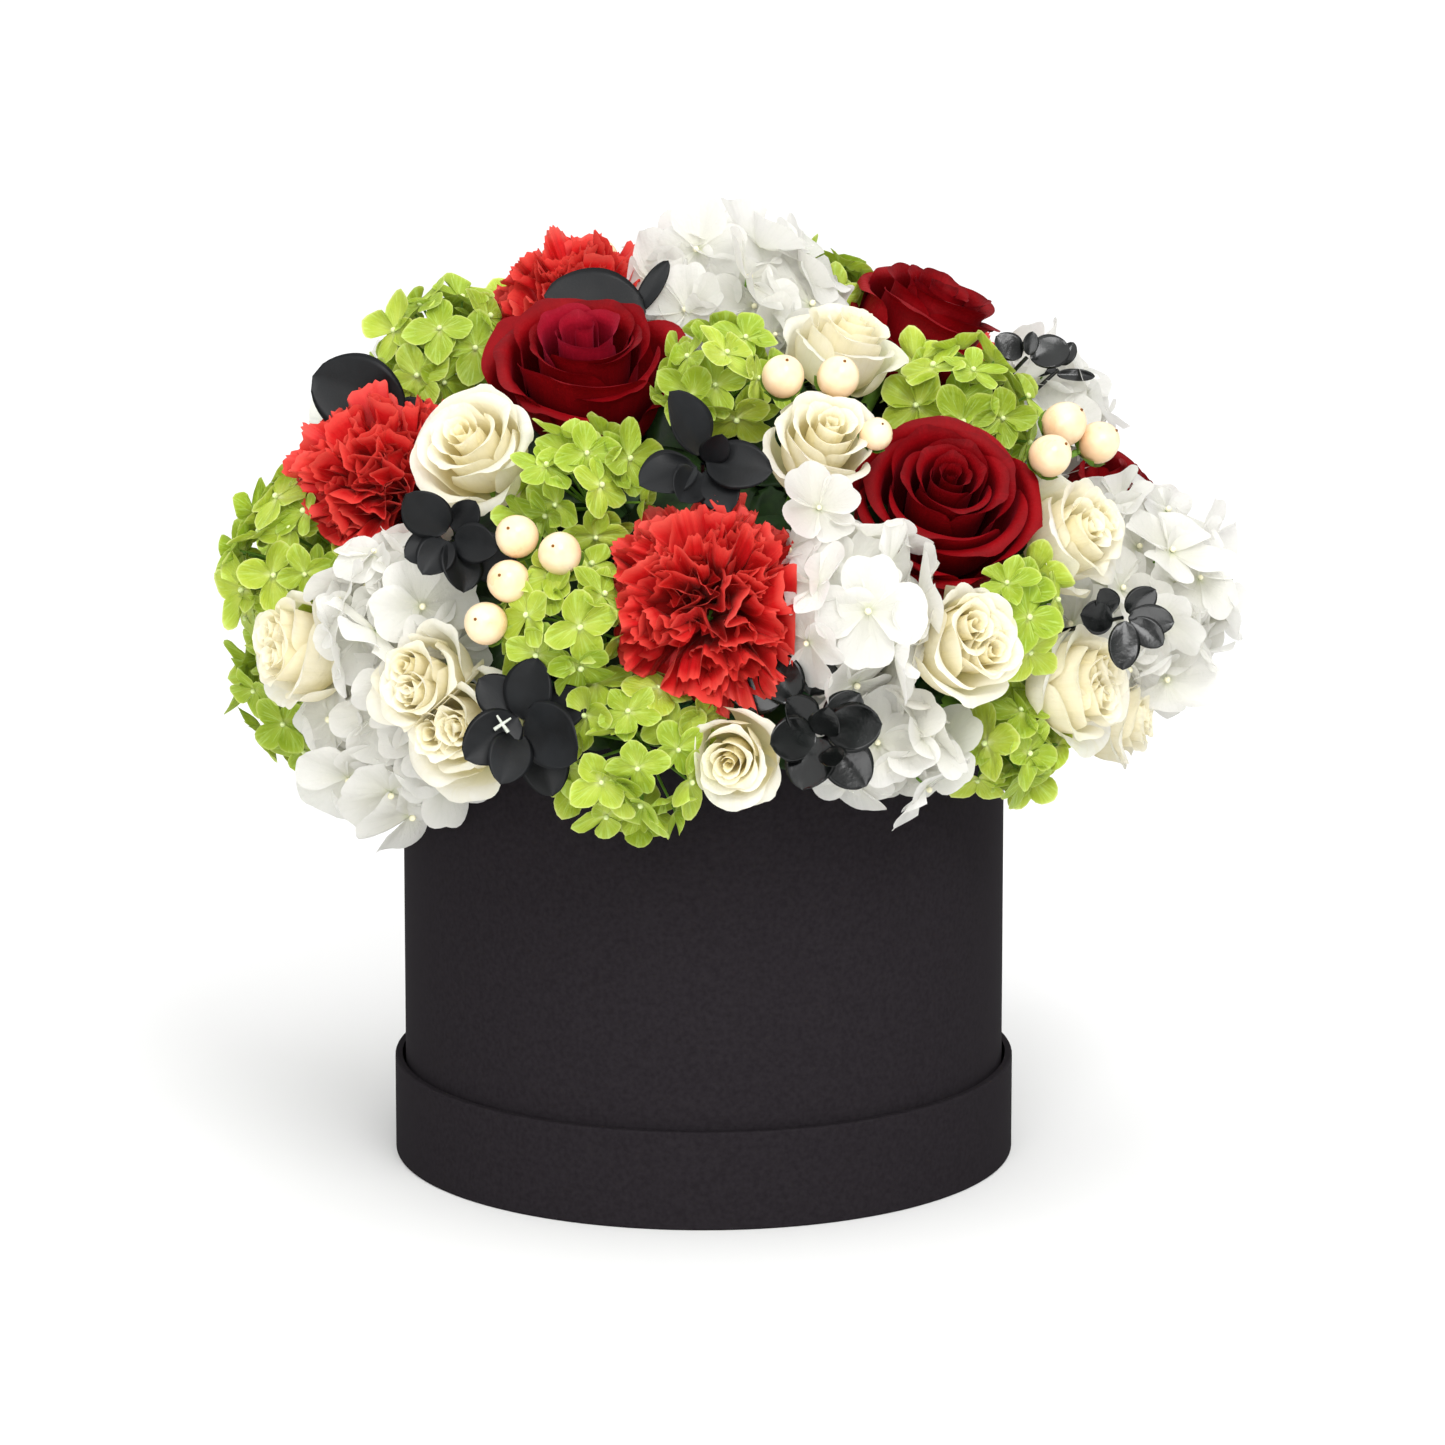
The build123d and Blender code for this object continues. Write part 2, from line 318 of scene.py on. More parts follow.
def mixed(tree, factor, first, second):  # sockets 6, 7 and 2 are the ones that carry colour
    return addNode(tree, "Mix", {0: factor, 6: first, 7: second}, data_type="RGBA").outputs[2]


petalGrainMm = 1.4  # a petal's cells are finer than this, and drawn this coarse to show


def petalMaterial(name, look):
    # a living petal: soft skin with fine veins, a little light through it
    material, tree = newMaterial(name)
    coords = addNode(tree, "TexCoord").outputs["Object"]
    along, tone, across = (attribute(tree, key) for key in ("along", "tone", "across"))
    colour = ramp(tree, along, look["alongStops"])
    deeper = ramp(tree, along, look["deepStops"])
    colour = mixed(tree, tone, colour, deeper)
    blotch = addNode(tree, "TexNoise", {"Vector": coords, "Scale": 1 / (look["blotchMm"] * mm),
                                        "Detail": 3.0, "Roughness": 0.55}).outputs["Fac"]
    patch = addNode(tree, "MapRange", {"Value": blotch, "From Min": 0.42, "From Max": 0.66,
                                       "To Max": look["blotch"]}).outputs["Result"]
    colour = mixed(tree, patch, colour, linear(look["blotchColour"]))
    # veins fan out along the petal
    fan = addNode(tree, "Math", {0: across, 1: look["veins"]}, operation="MULTIPLY").outputs[0]
    flow = addNode(tree, "CombineXYZ", {"X": fan, "Y": along, "Z": tone}).outputs[0]
    vein = addNode(tree, "TexNoise", {"Vector": flow, "Scale": 1.6, "Detail": 2.0}).outputs["Fac"]
    grain = addNode(tree, "TexNoise", {"Vector": coords, "Scale": 1 / (petalGrainMm * mm),
                                       "Detail": 2.0}).outputs["Fac"]
    height = addNode(tree, "Math", {0: vein, 1: grain}, operation="ADD").outputs[0]
    bump = addNode(tree, "Bump", {"Height": height, "Strength": look["bump"],
                                  "Distance": 0.5 * mm}).outputs["Normal"]
    vein = addNode(tree, "MapRange", {"Value": vein, "From Min": 0.5, "From Max": 0.72,
                                      "To Max": look["veinShow"]}).outputs["Result"]
    colour = mixed(tree, vein, colour, linear(look["veinColour"]))
    skin = addNode(tree, "BsdfPrincipled", {
        "Base Color": colour, "Normal": bump, "Roughness": look["roughness"], "IOR": 1.45,
        "Specular IOR Level": look["specular"], "Sheen Weight": look["sheen"],
        "Sheen Roughness": 0.35, "Sheen Tint": linear(look["sheenColour"])})
    glow = addNode(tree, "BsdfTranslucent", {"Color": colour, "Normal": bump})
    both = addNode(tree, "MixShader", {0: look["through"], 1: skin.outputs[0], 2: glow.outputs[0]})
    addNode(tree, "OutputMaterial", {"Surface": both.outputs[0]})
    return material


rosePetal = petalMaterial("rose petal, velvet skin", {  # deep velvet red; painted shade makes it nearly black at the petal bases and on the inner petals
    "alongStops": ((0.0, "#280003"), (0.45, "#6E0107"), (0.88, "#96030D"), (1.0, "#82020B")),
    "deepStops": ((0.0, "#200002"), (0.5, "#520105"), (0.88, "#7C020A"), (1.0, "#4A0106")),
    "blotchMm": 14, "blotch": 0.35, "blotchColour": "#5E0106", "veins": 9.0, "veinShow": 0.12,
    "veinColour": "#B80A1A", "bump": 0.40, "roughness": 0.62, "specular": 0.14, "sheen": 0.16,
    "sheenColour": "#C83246", "through": 0.14})
crimsonPetal = petalMaterial("rose petal, crimson heart", {  # the pinker bud at the heart of a loose rose, with painted shade darkening its petal bases
    "alongStops": ((0.0, "#4A000C"), (0.45, "#84081C"), (0.88, "#AC142C"), (1.0, "#9C0E26")),
    "deepStops": ((0.0, "#3A0009"), (0.5, "#720617"), (0.88, "#9C1026"), (1.0, "#860B1F")),
    "blotchMm": 14, "blotch": 0.25, "blotchColour": "#8C0A22", "veins": 9.0, "veinShow": 0.12,
    "veinColour": "#C82848", "bump": 0.35, "roughness": 0.6, "specular": 0.14, "sheen": 0.2,
    "sheenColour": "#E05078", "through": 0.16})
carnationPetal = petalMaterial("carnation petal, crisp skin", {  # bright red; the paler coral at the cut edges is painted highlight
    "alongStops": ((0.0, "#6E0508"), (0.6, "#BC0A12"), (0.88, "#D41C1E"), (1.0, "#EC6256")),
    "deepStops": ((0.0, "#4E0205"), (0.6, "#8E040B"), (0.88, "#B00C12"), (1.0, "#DC3E34")),
    "blotchMm": 9, "blotch": 0.35, "blotchColour": "#E23A34", "veins": 14.0, "veinShow": 0.18,
    "veinColour": "#E85A48", "bump": 0.30, "roughness": 0.55, "specular": 0.30, "sheen": 0.12,
    "sheenColour": "#FFB0A0", "through": 0.18})
creamPetal = petalMaterial("spray rose petal, waxy skin", {  # ivory, buttery deep in the heart
    "alongStops": ((0.0, "#E4E6A0"), (0.35, "#F7F2D0"), (0.7, "#FBF9F0"), (1.0, "#FCFBF6")),
    "deepStops": ((0.0, "#E2D688"), (0.4, "#F2E3A0"), (0.75, "#F8F0CA"), (1.0, "#FAF5DC")),
    "blotchMm": 10, "blotch": 0.25, "blotchColour": "#F4EDCB", "veins": 7.0, "veinShow": 0.22,
    "veinColour": "#E9E2BC", "bump": 0.35, "roughness": 0.55, "specular": 0.25, "sheen": 0.10,
    "sheenColour": "#FFFFFF", "through": 0.48})
whiteSepal = petalMaterial("white hydrangea sepal, thin skin", {  # clean white, cool in its shade
    "alongStops": ((0.0, "#DFE2C0"), (0.15, "#EDEDE4"), (0.7, "#F0EFEC"), (1.0, "#F2F1EE")),
    "deepStops": ((0.0, "#DADEB8"), (0.2, "#EAE9DD"), (0.7, "#EDECE6"), (1.0, "#EEEDE9")),
    "blotchMm": 12, "blotch": 0.15, "blotchColour": "#EDEEE5", "veins": 6.0, "veinShow": 0.22,
    "veinColour": "#DDE0D6", "bump": 0.45, "roughness": 0.55, "specular": 0.30, "sheen": 0.08,
    "sheenColour": "#FFFFFF", "through": 0.50})
limeSepal = petalMaterial("green hydrangea sepal, firm skin", {  # fresh lime with a paler heart
    "alongStops": ((0.0, "#EAEDB0"), (0.25, "#C2CE5A"), (0.75, "#AEC03A"), (0.93, "#BAC94C"),
                   (1.0, "#DBE38E")),
    "deepStops": ((0.0, "#D0DA80"), (0.25, "#9DB434"), (0.75, "#88A424"), (0.93, "#98B232"),
                  (1.0, "#BCCB66")),
    "blotchMm": 9, "blotch": 0.40, "blotchColour": "#98B22A", "veins": 6.0, "veinShow": 0.48,
    "veinColour": "#C8E680", "bump": 0.60, "roughness": 0.50, "specular": 0.35, "sheen": 0.06,
    "sheenColour": "#F0FFC0", "through": 0.20})


def plainMaterial(name, look):
    # one colour broken up by a soft mottling, and a fine grain in its surface
    material, tree = newMaterial(name)
    coords = addNode(tree, "TexCoord").outputs["Object"]
    mottle = addNode(tree, "TexNoise", {"Vector": coords, "Scale": 1 / (look["mottleMm"] * mm),
                                        "Detail": 4.0}).outputs["Fac"]
    colour = ramp(tree, mottle, look["stops"])
    if "foot" in look:  # another colour at the foot of the piece
        fade = addNode(tree, "MapRange", {"Value": attribute(tree, "along"), "From Min": 0.15,
                                          "From Max": 0.6, "To Min": 0.75,
                                          "To Max": 0.0}).outputs["Result"]
        colour = mixed(tree, fade, colour, linear(look["foot"]))
    grain = addNode(tree, "TexNoise", {"Vector": coords, "Scale": 1 / (look["grainMm"] * mm),
                                       "Detail": 3.0}).outputs["Fac"]
    bump = addNode(tree, "Bump", {"Height": grain, "Strength": look["bump"],
                                  "Distance": look["depthMm"] * mm}).outputs["Normal"]
    rough = addNode(tree, "MapRange", {"Value": mottle, "From Min": 0.3, "From Max": 0.7,
                                       "To Min": look["roughness"] - look["roughSpread"],
                                       "To Max": look["roughness"] + look["roughSpread"]}).outputs[0]
    surface = addNode(tree, "BsdfPrincipled", {
        "Base Color": colour, "Roughness": rough, "Normal": bump, "IOR": look["ior"],
        "Specular IOR Level": look["specular"], "Coat Weight": look.get("coat", 0.0),
        "Coat Roughness": look.get("coatRoughness", 0.1)})
    addNode(tree, "OutputMaterial", {"Surface": surface.outputs[0]})
    return material


greenStem = plainMaterial("cut green stem", {  # fresh skin with faint darker streaks
    "stops": ((0.3, "#4F7A22"), (0.7, "#7BA43A")), "mottleMm": 9, "grainMm": 0.8, "bump": 0.3,
    "depthMm": 0.2, "roughness": 0.5, "roughSpread": 0.08, "ior": 1.45, "specular": 0.35})
gapShadeLeaf = plainMaterial("filler foliage, dark as painted shade", {  # a dark green as painted shade, for the leaves that fill the gaps between heads
    "stops": ((0.3, "#12230F"), (0.7, "#2C4A1C")), "mottleMm": 8, "grainMm": 1.5, "bump": 0.4,
    "depthMm": 0.3, "roughness": 0.55, "roughSpread": 0.08, "ior": 1.45, "specular": 0.35})
berrySkin = plainMaterial("hypericum berry, waxy skin", {  # peach cream, pinker near its stalk
    "stops": ((0.3, "#E8C79A"), (0.5, "#EDD3AC"), (0.7, "#F0DCBC")), "foot": "#DC9A72",
    "mottleMm": 7, "grainMm": 0.9, "bump": 0.08, "depthMm": 0.1, "roughness": 0.32,
    "roughSpread": 0.06, "ior": 1.45, "specular": 0.45, "coat": 0.25, "coatRoughness": 0.18})
berryTip = plainMaterial("withered berry tip", {  # the brown dot where the flower was
    "stops": ((0.3, "#5A3417"), (0.7, "#8A5A2A")), "mottleMm": 1, "grainMm": 0.4, "bump": 0.3,
    "depthMm": 0.1, "roughness": 0.8, "roughSpread": 0.05, "ior": 1.45, "specular": 0.2})
creamBead = plainMaterial("unopened floret bud", {  # the bead at the heart of a white floret
    "stops": ((0.3, "#E9E4BC"), (0.7, "#F5F2D8")), "mottleMm": 1, "grainMm": 0.4, "bump": 0.2,
    "depthMm": 0.1, "roughness": 0.5, "roughSpread": 0.05, "ior": 1.45, "specular": 0.3})
limeBead = plainMaterial("unopened green bud", {  # the bead at the heart of a green floret
    "stops": ((0.3, "#C6D98A"), (0.7, "#E2ECB4")), "mottleMm": 1, "grainMm": 0.4, "bump": 0.2,
    "depthMm": 0.1, "roughness": 0.5, "roughSpread": 0.05, "ior": 1.45, "specular": 0.3})
blackLeaf = plainMaterial("eucalyptus leaf, satin spray paint", {  # soft grey shine off flat black
    "stops": ((0.3, "#0B0C0D"), (0.7, "#16181A")), "mottleMm": 10, "grainMm": 0.7, "bump": 0.25,
    "depthMm": 0.15, "roughness": 0.45, "roughSpread": 0.08, "ior": 1.5, "specular": 0.20})
glossLeaf = plainMaterial("eucalyptus leaf, wet gloss paint", {  # thick paint with sharp highlights
    "stops": ((0.3, "#060707"), (0.7, "#101312")), "mottleMm": 10, "grainMm": 1.6, "bump": 0.3,
    "depthMm": 0.25, "roughness": 0.22, "roughSpread": 0.06, "ior": 1.5, "specular": 0.32,
    "coat": 0.12, "coatRoughness": 0.06})
paleScar = plainMaterial("eucalyptus bud scar, bare wood", {  # a small pale cross among black leaves
    "stops": ((0.3, "#A9AFA4"), (0.7, "#D0D3C8")), "mottleMm": 1, "grainMm": 0.4, "bump": 0.4,
    "depthMm": 0.1, "roughness": 0.7, "roughSpread": 0.05, "ior": 1.5, "specular": 0.3})
coverPaper = plainMaterial("black cover paper, uncoated", {  # matt, faintly warm, a fine tooth
    "stops": ((0.3, "#1E1B1E"), (0.5, "#221F22"), (0.7, "#252225")), "mottleMm": 1.6, "grainMm": 0.45,
    "bump": 0.35, "depthMm": 0.06, "roughness": 0.8, "roughSpread": 0.05, "ior": 1.5,
    "specular": 0.02})
greyBoard = plainMaterial("grey board, raw cut", {  # recycled fibre, speckled
    "stops": ((0.3, "#6B655C"), (0.7, "#8C867B")), "mottleMm": 1.2, "grainMm": 0.5, "bump": 0.6,
    "depthMm": 0.1, "roughness": 0.9, "roughSpread": 0.04, "ior": 1.5, "specular": 0.2})
foamCell = plainMaterial("wet floral foam, cut face", {  # dark wet green, finely porous
    "stops": ((0.35, "#16331C"), (0.65, "#2E5A33")), "mottleMm": 2.2, "grainMm": 0.9, "bump": 1.0,
    "depthMm": 0.6, "roughness": 0.85, "roughSpread": 0.08, "ior": 1.4, "specular": 0.3})
linerPlastic = plainMaterial("milky polypropylene, formed", {  # cloudy and slightly glossy
    "stops": ((0.3, "#CFD5D3"), (0.7, "#D8DDDB")), "mottleMm": 30, "grainMm": 2.0, "bump": 0.05,
    "depthMm": 0.05, "roughness": 0.35, "roughSpread": 0.02, "ior": 1.49, "specular": 0.4})
print("materials made")


# Roses: petals wrapped in a spiral, close and tall in the heart, wide and rolled back outside.
# Lengths are in head radii; a lip begins to roll at "turnAt", and the first "blush" petals are pinker.
redRoseLook = {"petals": 23, "rows": 24, "columns": 31, "heart": 0.04, "open": 0.88, "spread": 1.1,
               "top": 0.66, "fall": 0.66, "fallPower": 2.3, "wrap": 2.6, "unwrap": 1.55, "base": -0.62,
               "turnAt": 0.76, "lip": 0.21, "roll": 2.1, "spiral": 0.15, "ruffle": 0.030, "nib": 0.06,
               "fill": 1.03, "uneven": 0.08}
looseRoseLook = {**redRoseLook, "petals": 18, "heart": 0.13, "blush": 5, "open": 0.95, "fallPower": 1.6,
                 "ruffle": 0.065, "roll": 2.4, "lip": 0.28, "spread": 0.8, "spiral": 0.18,
                 "uneven": 0.14}
creamRoseLook = {**redRoseLook, "petals": 18, "rows": 20, "columns": 27, "base": -0.56, "open": 0.92,
                 "heart": 0.06, "ruffle": 0.045, "lip": 0.25, "roll": 2.2, "nib": 0.08, "fill": 1.10,
                 "uneven": 0.12}
ruffledRoseLook = {**creamRoseLook, "petals": 17, "ruffle": 0.08, "swirls": 2, "fill": 1.10}
roseLooks = {"red_rose_1": looseRoseLook, "red_rose_3": {**looseRoseLook, "fallPower": 2.6, "blush": 0},
             "red_rose_5": looseRoseLook, "spray_rose_4": ruffledRoseLook, "spray_rose_5": ruffledRoseLook,
             "spray_rose_6": ruffledRoseLook}
# how far a bloom's heart leans right and up from its own axis
leans = {"red_rose_1": (0.32, 0.04), "red_rose_2": (-0.42, 0.22), "red_rose_3": (-0.25, 0.10),
         "red_rose_4": (-0.3, 0.0), "spray_rose_1": (0.15, -0.05), "spray_rose_3": (-0.28, -0.15)}


def leaning(head):
    turnTo = facing(head["axis"])
    right, up = leans.get(head["node"], (0.0, 0.0))
    return unit(head["axis"] + turnTo[:, 0] * right + turnTo[:, 1] * up)


def rosePetals(look, first, last, spin, size=1.0, offset=(0.0, 0.0, 0.0)):
    v = np.linspace(0, 1, look["rows"])[:, None]
    u = np.linspace(-1, 1, look["columns"])[None, :]
    petals = []
    for i in range(first, last):
        t = i / (look["petals"] - 1)
        wide = look["heart"] + (look["open"] - look["heart"]) * t ** look["spread"]
        tall = look["top"] - look["fall"] * t ** look["fallPower"] + look["uneven"] * rng.uniform(-0.3, 0.3)
        wide *= 1 + look["uneven"] * rng.uniform(-1, 1)
        half = (look["wrap"] - look["unwrap"] * t ** 0.5) * rng.uniform(0.92, 1.08)
        nib = look["nib"] * np.exp(-(u / 0.10) ** 2)
        s = v * (1 - 0.42 * np.abs(u) ** 3.4 + nib)
        body = np.clip(s / look["turnAt"], 0, 1)
        r = (3 * body * (1 - body) ** 2 * wide * 0.95
             + 3 * body ** 2 * (1 - body) * wide * (0.98 - 0.06 * (1 - t))
             + body ** 3 * wide) + 0.05 * (1 - body) ** 3
        z = ((1 - body) ** 3 * look["base"] + 3 * body * (1 - body) ** 2 * (look["base"] + 0.10)
             + 3 * body ** 2 * (1 - body) * (tall - 0.42) + body ** 3 * tall)
        turn = look["roll"] * (0.12 + 0.88 * t) * rng.uniform(0.8, 1.2)
        turn = turn * (1 + 0.25 * np.cos(2 * u + rng.uniform(0, 6)))
        bend = np.clip((s - look["turnAt"]) / (1 - look["turnAt"]), 0, 1.2)
        bow = look["lip"] * (0.55 + 0.6 * t) / turn
        r = r + bow * (1 - np.cos(bend * turn))
        z = z + bow * np.sin(bend * turn)
        r = r * (1 + look["spiral"] * u * (1 - 0.6 * t)) + 0.05 * t * np.abs(u) ** 4 * v
        wave = rng.uniform(0, fullTurn, 4)
        ruffle = 0.6 * np.sin(2.7 * u + wave[0]) + 0.4 * np.sin(6.1 * u + wave[1])
        z = z + look["ruffle"] * (0.3 + t) * ruffle * v ** 3
        flare = np.sin(3.7 * u + wave[2]) + 0.4 * np.sin(8 * u + wave[3])
        r = r + look["ruffle"] * 0.8 * (0.2 + t) * flare * v ** 4
        theta = i * goldenAngle + spin + rng.uniform(-0.15, 0.15) + half * u * (0.6 + 0.4 * v ** 0.5)
        points = np.stack((r * np.cos(theta), r * np.sin(theta), z + 0 * u), -1) * size + np.asarray(offset)
        # inner petals get a higher tone: in the red roses that mixes in painted shade, in the cream roses
        # their buttery heart
        tone = np.clip(0.10 + 0.65 * (1 - t) + rng.uniform(-0.15, 0.15), 0, 1)
        petals.append((points, tone, np.clip(s, 0, 1)))
    return petals


def roseBloom(sheaf, head, look, spin):
    if "swirls" in look:
        inner = look["petals"] // 2  # a garden rose's heart is several small swirls
        petals = rosePetals(look, inner - 1, look["petals"], spin)
        for k in range(look["swirls"]):
            angle = spin + k * 2 * math.pi / look["swirls"]
            away = (0.24 * math.cos(angle), 0.24 * math.sin(angle), 0.12)
            petals += rosePetals({**look, "heart": 0.10}, 0, inner, spin + 2 * k, 0.80, away)
    else:
        petals = rosePetals(look, 0, look["petals"], spin)
    everyPoint = np.concatenate([points.reshape(-1, 3) for points, tone, s in petals])
    reach = np.percentile(np.linalg.norm(everyPoint, axis=1), 99)
    for order, (points, tone, s) in enumerate(petals):
        heart = 2 if order < look.get("blush", 0) else 0
        sheaf.add(placed(head, points * look["fill"] / reach, axis=leaning(head)), heart, tone, s)


def sepalRing(sheaf, head, reach, width, rise, material, press=True):
    # five sepals, given by how far out, how wide and how high they are along their length
    u = np.linspace(-1, 1, 3)[None, :]
    for k in range(5):
        angle = k * 2 * math.pi / 5
        x = reach * math.cos(angle) - width * u * math.sin(angle)
        y = reach * math.sin(angle) + width * u * math.cos(angle)
        sheaf.add(placed(head, np.stack((x, y, rise + 0 * u), -1), press=press), material)


def calyx(sheaf, head, base):  # the green cup under a bloom
    cup = bead((0, 0, base - 0.02), 0.16, 10, 6, 1.2)
    sheaf.add(placed(head, cup, press=False), 1, closed=True)
    v = np.linspace(0, 1, 6)[:, None]
    sepalRing(sheaf, head, 0.10 + 0.42 * v, 0.10 * (1 - v) ** 0.7,
              base + 0.02 + 0.05 * np.sin(3 * v) - 0.14 * v * v, 1)


for name in sorted(heads):
    kind = heads[name][0]["kind"]
    if kind in ("red_rose", "spray_rose"):
        red = kind == "red_rose"
        look = roseLooks.get(name, redRoseLook if red else creamRoseLook)
        sheaf = Sheaf(name + "_bloom")
        for head in heads[name]:
            roseBloom(sheaf, head, look, rng.uniform(0, 6))
            calyx(sheaf, head, look["base"])
        sheaf.finish((rosePetal, greenStem, crimsonPetal) if red else (creamPetal, greenStem), name,
                     "rose_petals" if red else "spray_rose_petals")
print("roses made")


# Carnations: many fan petals with toothed, crumpled edges
carnationLook = {"petals": 88, "rows": 14, "columns": 61, "cap": 110, "base": -0.55, "width": 0.34,
                 "length": (0.84, 1.06), "twist": 0.8, "crumple": 0.17, "drop": 0.10, "arch": 0.24,
                 "flop": 0.12, "teeth": 0.030, "pitch": 15}


def carnationBloom(sheaf, head, spin):
    look = carnationLook
    v = np.linspace(0, 1, look["rows"])[:, None]
    u = np.linspace(-1, 1, look["columns"])[None, :]
    for i in range(look["petals"]):
        share = (i + 0.5) / look["petals"]
        lean = math.radians(look["cap"]) * share ** 0.6 + rng.uniform(-0.10, 0.10)
        around = i * goldenAngle + spin + rng.uniform(-0.35, 0.35)
        length = rng.uniform(*look["length"])
        foot = np.array((0.03 * math.cos(around), 0.03 * math.sin(around), look["base"]))
        out = np.array((math.sin(lean) * math.cos(around), math.sin(lean) * math.sin(around),
                        math.cos(lean)))
        middle = 0.42 * out + np.array((0, 0, 0.02))
        line = (((1 - v) ** 2)[..., None] * foot + (2 * v * (1 - v))[..., None] * middle
                + (v ** 2)[..., None] * out * length)
        side = unit(np.cross((0.01, 0.02, 1), out))
        twist = rng.normal(0, look["twist"])
        normal = np.cross(out, side)
        side, normal = (math.cos(twist) * side + math.sin(twist) * normal,
                        math.cos(twist) * normal - math.sin(twist) * side)
        width = (0.03 + look["width"] * smooth(0.25, 1.0, v)) * rng.uniform(0.8, 1.2)
        wave = rng.uniform(0, fullTurn, 4)
        swing = (0.70 * np.sin(3.8 * u + wave[0] + 0.8 * v) + 0.50 * np.sin(8.3 * u + wave[1])
                 + 0.22 * np.sin(17 * u + wave[2]))
        crumple = look["crumple"] * smooth(0.4, 1.0, v) ** 1.4 * swing
        drop = look["drop"] * smooth(0.7, 1.0, v) * np.sin(4.1 * u + wave[3])
        saw = 1 - np.abs(2 * ((u * look["pitch"] / 2) % 1) - 1)
        teeth = look["teeth"] * saw * smooth(0.88, 1.0, v)
        arch = -look["arch"] * np.abs(u) ** 2.2 * smooth(0.3, 1, v)
        # the fan's top flops over to one side
        flop = rng.uniform(-look["flop"], look["flop"]) * smooth(0.65, 1, v) ** 2
        points = (line + (width * u)[..., None] * side + (crumple + flop)[..., None] * normal
                  + (arch + teeth + drop)[..., None] * out)
        sheaf.add(placed(head, points), 0, rng.uniform(0.0, 0.8), np.clip(v - 0.05 * np.abs(u), 0, 1))


for name in sorted(heads):
    if heads[name][0]["kind"] == "red_carnation":
        sheaf = Sheaf(name + "_bloom")
        for head in heads[name]:
            carnationBloom(sheaf, head, rng.uniform(0, 6))
            calyx(sheaf, head, carnationLook["base"])
        sheaf.finish((carnationPetal, greenStem), name, "carnation_petals")
print("carnations made")


# Hydrangeas: florets of four or five sepals spread over a ball, on thin stalks. Sizes are in mm,
# and what shapes a sepal is in shares of the floret's radius; "deeper" fills the layers underneath.
limeLook = {"floretMm": 23.5, "depthMm": 2.0, "capTo": 108, "packing": 0.50, "rows": 8, "columns": 11,
            "five": 0.12, "cup": (-0.02, 0.34), "reach": 50, "shoulder": 0.55, "power": 2.0,
            "notch": 0.0, "point": 0.06, "crease": 0.10, "ripple": 0.05, "bead": 0.085, "lean": 0.34,
            "deeper": (0.5,)}
whiteLook = {**limeLook, "floretMm": 35, "depthMm": 2.5, "packing": 0.36, "rows": 10, "columns": 17,
             "cup": (-0.05, 0.45), "reach": 52, "shoulder": 0.42, "power": 3.2, "notch": 0.05,
             "point": 0.0, "crease": 0.06, "ripple": 0.085, "bead": 0.065, "lean": 0.40,
             "deeper": (0.9, 0.6)}


def floret(sheaf, head, centre, out, radius, look):
    turnTo = facing(out, rng.uniform(0, fullTurn))
    s = np.linspace(0, 1, look["rows"])[:, None]
    u = np.linspace(-1, 1, look["columns"])[None, :]
    sepals = 5 if rng.uniform() < look["five"] else 4
    cup, tone = rng.uniform(*look["cup"]), rng.uniform(0.0, 0.9)
    for k in range(sepals):
        # each sepal is a fan of lines from the heart of the floret to a rounded outline
        sweep = math.radians(look["reach"]) * rng.uniform(0.9, 1.1) * 4 / sepals * u
        outline = 1 - look["shoulder"] * np.abs(u) ** look["power"]
        outline = outline - look["notch"] * np.exp(-(u / 0.13) ** 2)
        outline = outline + look["point"] * np.exp(-(u / 0.2) ** 2)
        outline = outline * rng.uniform(0.9, 1.08)
        angle = k * 2 * math.pi / sepals + rng.uniform(-0.10, 0.10) + sweep
        wave = rng.uniform(0, fullTurn, 3)
        lift = cup * rng.uniform(0.7, 1.3) * s ** 1.7 + (k % 2) * 0.05 * s
        lift = lift - look["crease"] * (1 - np.abs(u)) ** 2 * np.sin(np.pi * s ** 0.8)
        ripple = np.sin(2.6 * u + wave[0]) + 0.6 * np.sin(5.7 * u + wave[1])
        lift = lift + look["ripple"] * s ** 2 * ripple
        lift = lift - 0.12 * s ** 4 * rng.uniform(0, 1)
        edge = 0.018 * s ** 3 * np.sin(9 * u + wave[2])
        x = (s * outline + edge) * np.cos(angle)
        y = (s * outline + edge) * np.sin(angle)
        points = np.stack((x, y, lift + 0 * x), -1) * radius @ turnTo.T + centre
        sheaf.add(pressed(head, points), 0, np.clip(tone + rng.uniform(-0.1, 0.1), 0, 1))
    heart = bead(centre + out * radius * 0.07, radius * look["bead"], 8, 5, 0.9, out, -60)
    sheaf.add(pressed(head, heart), 1, closed=True)


def spotsOver(head, count, capTo, spin):  # evenly spread directions over the front of a head
    turnTo = facing(head["axis"], spin)
    for i in range(count):
        cosine = 1 - (1 - math.cos(math.radians(capTo))) * (i + 0.5) / count
        sine = math.sqrt(1 - cosine ** 2)
        turn = i * goldenAngle
        yield turnTo @ np.array((sine * math.cos(turn), sine * math.sin(turn), cosine))


def overlap(head, centre):  # how far a point lies beyond the nearest neighbour's side of a press
    return max(((centre - head["centre"]) @ n - share for n, share in head["presses"]), default=-1.0)


